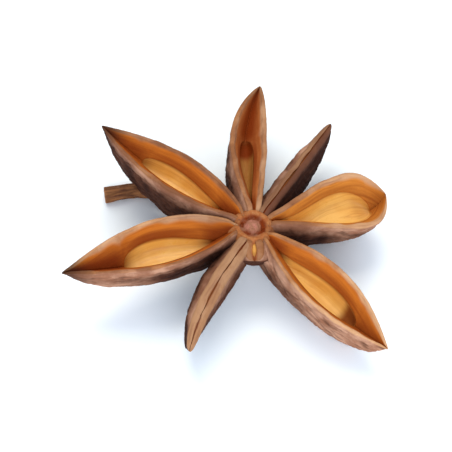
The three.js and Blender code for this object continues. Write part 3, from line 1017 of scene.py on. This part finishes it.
def hub_material(colours):
    """Hub: tan lobes with painted shade in the hollows between them and on the side below, a mottled
    red-brown pit and a pinkish knob.
    """
    shader = Shader("hub_husk")
    patches = shader.clouds(900, 5.0, 0.65)
    specks = shader.clouds(**SPECKS)
    lobes = shader.mix(shader.span(specks, 0.35, 0.7), colours.lip_pale, colours.rim)
    pit = shader.mix(shader.span(patches, 0.38, 0.68), colours.groove, colours.husk)
    knob = shader.mix(shader.span(patches, 0.4, 0.65), colours.husk, colours.knob)
    base = shader.mix(shader.attribute("pit"), lobes, pit)
    base = shader.mix(shader.attribute("knob"), base, knob)
    # Painted shade between the lobes and on the side below
    base = shader.mix(shader.math("MULTIPLY", shader.attribute("between"), 0.5), base, colours.dusk)
    return shader.finish(base, shader.span(specks, 0.3, 0.7, 0.5, 0.75), DULL_SPECULAR, specks, 0.8)


def bark_material(colours):
    """Stalk: wrinkled brown bark with long streaks and painted shade in its creases, and a paler fibrous
    broken end.
    """
    shader = Shader("stalk_bark")
    streaks = shader.streaks((0.6, 4.0, 4.0), 5.0, 0.6)
    specks = shader.clouds(2400, 3.0, 0.7)
    # Painted shade in the creases of the bark
    crease = shader.math("MULTIPLY", shader.attribute("crease"), 0.6)
    bark = shader.mix(shader.span(streaks, 0.3, 0.7), colours.dusk, colours.bark)
    bark = shader.mix(shader.span(specks, 0.55, 0.75, 0.0, 0.5), bark, colours.husk_pale)
    bark = shader.mix(crease, bark, colours.dusk_deep)
    pith = shader.mix(shader.span(specks, 0.3, 0.7), colours.bark, colours.pith)
    base = shader.mix(shader.attribute("broken"), bark, pith)
    rough = shader.span(specks, 0.3, 0.7, 0.65, 0.85)
    return shader.finish(base, rough, DULL_SPECULAR, shader.math("ADD", specks, streaks), 0.9)


def floor_material(colours):
    """Plain pale matte floor with a faint mottle."""
    shader = Shader("pale_floor")
    mottle = shader.span(shader.clouds(60, 2.0, 0.5), 0.3, 0.7, 0.0, 0.02)
    shader.feed(shader.surface.inputs["Base Color"], shader.mix(mottle, colours.floor, FLOOR_MOTTLE))
    shader.surface.inputs["Roughness"].default_value = 0.75
    shader.surface.inputs["Specular IOR Level"].default_value = 0.2
    return shader.material


# --- Operators -------------------------------------------------------------


class POD_OT_follicles(bpy.types.Operator):
    """Builds the seven grown follicles round the hub"""

    bl_idname = "pod.follicles"
    bl_label = "Follicles"

    def execute(self, context):
        for follicle in FOLLICLES:
            add_follicle(follicle, context.scene)
        return {"FINISHED"}


class POD_OT_stub(bpy.types.Operator):
    """Builds the small follicle that stopped growing"""

    bl_idname = "pod.stub"
    bl_label = "Aborted follicle"

    def execute(self, context):
        add_follicle(STUB, context.scene)
        return {"FINISHED"}


class POD_OT_hub(bpy.types.Operator):
    """Builds the hub with its ring, pit and knob"""

    bl_idname = "pod.hub"
    bl_label = "Hub"

    def execute(self, context):
        add_piece("hub", hub_surface(), hub_material(context.scene.pod_colours))
        return {"FINISHED"}


class POD_OT_stalk(bpy.types.Operator):
    """Builds the broken stalk under the pod"""

    bl_idname = "pod.stalk"
    bl_label = "Stalk"

    def execute(self, context):
        add_piece("stalk", stalk_surface(), bark_material(context.scene.pod_colours))
        return {"FINISHED"}


class POD_OT_stage(bpy.types.Operator):
    """Builds the floor, the soft lights and the camera"""

    bl_idname = "pod.stage"
    bl_label = "Floor, lights and camera"

    def execute(self, context):
        stage = context.scene.pod_stage
        add_floor(stage, context.scene.pod_colours)
        add_sky(context.scene, stage)
        add_lamp("key_light", KEY_AT, KEY_SIDE, stage.key_power, KEY_TINT)
        add_lamp("fill_light", FILL_AT, FILL_SIDE, stage.fill_power, FILL_TINT)
        add_camera(context.scene, stage)
        context.scene.view_settings.view_transform = "Standard"
        return {"FINISHED"}


def add_follicle(follicle, scene):
    """One follicle, with the husk that all of them share, which the first one makes."""
    husk = bpy.data.materials.get("dried_husk") or husk_material(scene.pod_colours)
    add_piece(follicle.name, follicle_surface(follicle, scene.pod_shape), husk)


def add_floor(stage, colours):
    """A square sheet at height 0."""
    half = stage.floor_side / 2
    mesh = bpy.data.meshes.new("floor")
    corners = [(-half, -half, 0), (half, -half, 0), (half, half, 0), (-half, half, 0)]
    mesh.from_pydata(corners, [], [(0, 1, 2, 3)])
    mesh.materials.append(floor_material(colours))
    floor = bpy.data.objects.new("floor", mesh)
    bpy.context.scene.collection.objects.link(floor)


def add_sky(scene, stage):
    """Even, slightly cool light from all round."""
    world = bpy.data.worlds.new("studio")
    world.use_nodes = True
    background = world.node_tree.nodes["Background"]
    background.inputs["Color"].default_value = SKY_TINT
    background.inputs["Strength"].default_value = stage.sky_strength
    scene.world = world


def add_lamp(name, place, side, power, tint):
    """A square area light that faces the pod."""
    data = bpy.data.lights.new(name, "AREA")
    data.size = side
    data.energy = power
    data.color = tint
    lamp = bpy.data.objects.new(name, data)
    lamp.location = place
    lamp.rotation_euler = (-Vector(place)).to_track_quat("-Z", "Y").to_euler()
    bpy.context.scene.collection.objects.link(lamp)


def add_camera(scene, stage):
    """A long-lens camera that looks along +Y and down at a place a little to the hub's left."""
    aim = Vector((HUB_AT[0] + AIM_FROM_HUB[0], HUB_AT[1] + AIM_FROM_HUB[1], HUB_TOP)) * MM
    back = Vector((0, -math.cos(stage.camera_elevation), math.sin(stage.camera_elevation)))
    data = bpy.data.cameras.new("camera")
    data.sensor_width = SENSOR_WIDTH
    data.lens = SENSOR_WIDTH * stage.camera_distance / stage.view_width
    data.clip_start, data.clip_end = CLIP
    camera = bpy.data.objects.new("camera", data)
    camera.location = aim + back * stage.camera_distance
    camera.rotation_euler = (-back).to_track_quat("-Z", "Y").to_euler()
    scene.collection.objects.link(camera)
    scene.camera = camera


class POD_PT_panel(bpy.types.Panel):
    """Lists the pod's operators, sizes and colours"""

    bl_idname = "POD_PT_panel"
    bl_label = "Star anise pod"
    bl_space_type = "VIEW_3D"
    bl_region_type = "UI"
    bl_category = "Pod"

    def draw(self, context):
        layout = self.layout
        for operator in OPERATORS:
            layout.operator(operator.bl_idname)
        for group in (context.scene.pod_shape, context.scene.pod_colours, context.scene.pod_stage):
            box = layout.box()
            for key in group.__annotations__:
                box.prop(group, key)


GROUPS = {"pod_shape": PodShape, "pod_colours": PodColours, "pod_stage": PodStage}
OPERATORS = (POD_OT_follicles, POD_OT_stub, POD_OT_hub, POD_OT_stalk, POD_OT_stage)


def register():
    """Registers the classes and hangs the settings on the scene."""
    for cls in (*GROUPS.values(), *OPERATORS, POD_PT_panel):
        bpy.utils.register_class(cls)
    for name, group in GROUPS.items():
        setattr(bpy.types.Scene, name, PointerProperty(type=group))


def unregister():
    """Takes the settings and classes away again."""
    for name in GROUPS:
        delattr(bpy.types.Scene, name)
    for cls in reversed((*GROUPS.values(), *OPERATORS, POD_PT_panel)):
        bpy.utils.unregister_class(cls)


def main():
    """Builds everything."""
    register()
    bpy.ops.pod.follicles()
    bpy.ops.pod.stub()
    bpy.ops.pod.hub()
    bpy.ops.pod.stalk()
    bpy.ops.pod.stage()


if __name__ == "__main__":
    main()
